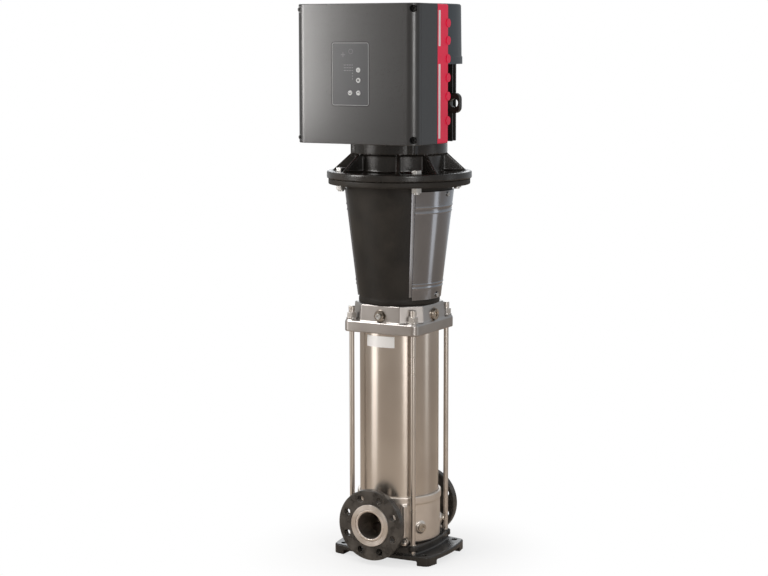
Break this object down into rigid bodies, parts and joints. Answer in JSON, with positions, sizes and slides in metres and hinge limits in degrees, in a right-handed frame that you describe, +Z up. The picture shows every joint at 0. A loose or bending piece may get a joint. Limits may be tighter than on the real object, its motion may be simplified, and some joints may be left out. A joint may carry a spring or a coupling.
{
  "type": "vertical multistage pump",
  "caption": "Vertical multistage in-line pump: flanged ports at the foot, stainless sleeve with staybolts, tapered motor stool and a finned motor with a drive box.",
  "frame": {"origin": "on the shaft's axis at floor level, the centre of the base plate's bolt holes", "axes": "+Z up along the shaft; the ports lie along Y, suction at -Y and discharge at +Y; the drive box's front and keypad face -Y; +X is to the right of someone who faces the keypad"},
  "size_m": [0.376, 0.4166, 1.438],
  "materials": {
    "cast_black": "black paint over cast iron",
    "cast_stainless": "blasted stainless casting",
    "sheet_stainless": "brushed stainless sheet",
    "pressed_stainless": "pressed stainless sheet",
    "bar_stainless": "drawn stainless bar",
    "zinc_steel": "zinc plated steel",
    "carbide": "lapped carbide",
    "ring_plastic": "natural bearing plastic",
    "coupling_iron": "machined cast iron",
    "bearing_steel": "ground steel",
    "core_steel": "varnished laminations",
    "copper": "varnished copper wire",
    "fan_plastic": "moulded black",
    "cowl_paint": "satin dark grey",
    "frame_red": "satin red",
    "gasket_rubber": "black",
    "cover_grey": "fine textured dark grey",
    "cover_screw_steel": "blackened steel",
    "panel_grey": "satin film",
    "button_pale": "pale grey",
    "board_green": "solder mask"
  },
  "bodies": {
    "pump": {"base_plate": "cast_black", "motor_stool": "cast_black", "drive_end_shield": "cast_black", "stator_frame": "cast_black", "fan_end_shield": "cast_black", "lifting_eyes": "cast_black", "base_chamber": "cast_stainless", "pump_head": "cast_stainless", "port_collars": "cast_stainless", "outer_sleeve": "sheet_stainless", "coupling_guard_right": "sheet_stainless", "coupling_guard_left": "sheet_stainless", "stage_chambers": "pressed_stainless", "guide_vanes": "pressed_stainless", "top_guide": "pressed_stainless", "seal_carrier": "pressed_stainless", "staybolts": "bar_stainless", "staybolt_washers": "bar_stainless", "staybolt_nuts": "bar_stainless", "drain_plugs": "bar_stainless", "base_bolts": "bar_stainless", "vent_plug": "bar_stainless", "priming_plug": "bar_stainless", "guard_screws": "bar_stainless", "flange_bolts": "zinc_steel", "flange_nuts": "zinc_steel", "fan_cover_screws": "zinc_steel", "stool_screws": "zinc_steel", "stage_bushes": "carbide", "seal_seat": "carbide", "neck_rings": "ring_plastic", "motor_bearings": "bearing_steel", "stator_core": "core_steel", "windings": "copper", "fan_cover": "cowl_paint", "drive_frame": "frame_red", "cover_gasket": "gasket_rubber", "box_cover": "cover_grey", "cover_screws": "cover_screw_steel", "keypad_panel": "panel_grey", "control_board": "board_green"},
    "rotor": {"impellers": "pressed_stainless", "spacer_sleeves": "pressed_stainless", "pump_shaft": "bar_stainless", "shaft_end_nut": "bar_stainless", "seal_head": "carbide", "coupling_halves": "coupling_iron", "coupling_screws": "zinc_steel", "rotor_core": "core_steel", "motor_shaft": "bearing_steel", "cooling_fan": "fan_plastic"},
    "suction_flange": {"suction_flange": "cast_black"},
    "discharge_flange": {"discharge_flange": "cast_black"},
    "vent_screw": {"vent_screw": "bar_stainless"},
    "button_on": {"button_on": "button_pale"},
    "button_off": {"button_off": "button_pale"},
    "button_down": {"button_down": "button_pale"},
    "button_up": {"button_up": "button_pale"}
  },
  "joints": [
    {"name": "shaft_spin", "type": "hinge", "parent": "pump", "child": "rotor", "pos_m": [0, 0, 0.7], "axis": [0, 0, 1], "continuous": true},
    {"name": "suction_flange_turn", "type": "hinge", "parent": "pump", "child": "suction_flange", "pos_m": [0, -0.15, 0.105], "axis": [0, 1, 0], "continuous": true},
    {"name": "discharge_flange_turn", "type": "hinge", "parent": "pump", "child": "discharge_flange", "pos_m": [0, 0.15, 0.105], "axis": [0, 1, 0], "continuous": true},
    {"name": "vent_screw_turn", "type": "hinge", "parent": "pump", "child": "vent_screw", "pos_m": [0, -0.11, 0.644], "axis": [0, 1, 0], "range_deg": [0, 360]},
    {"name": "button_on_press", "type": "slide", "parent": "pump", "child": "button_on", "axis": [0, 1, 0], "range_m": [0, 0.0008], "stiffness_N_per_m": 400},
    {"name": "button_off_press", "type": "slide", "parent": "pump", "child": "button_off", "axis": [0, 1, 0], "range_m": [0, 0.0008], "stiffness_N_per_m": 400},
    {"name": "button_down_press", "type": "slide", "parent": "pump", "child": "button_down", "axis": [0, 1, 0], "range_m": [0, 0.0008], "stiffness_N_per_m": 400},
    {"name": "button_up_press", "type": "slide", "parent": "pump", "child": "button_up", "axis": [0, 1, 0], "range_m": [0, 0.0008], "stiffness_N_per_m": 400}
  ]
}
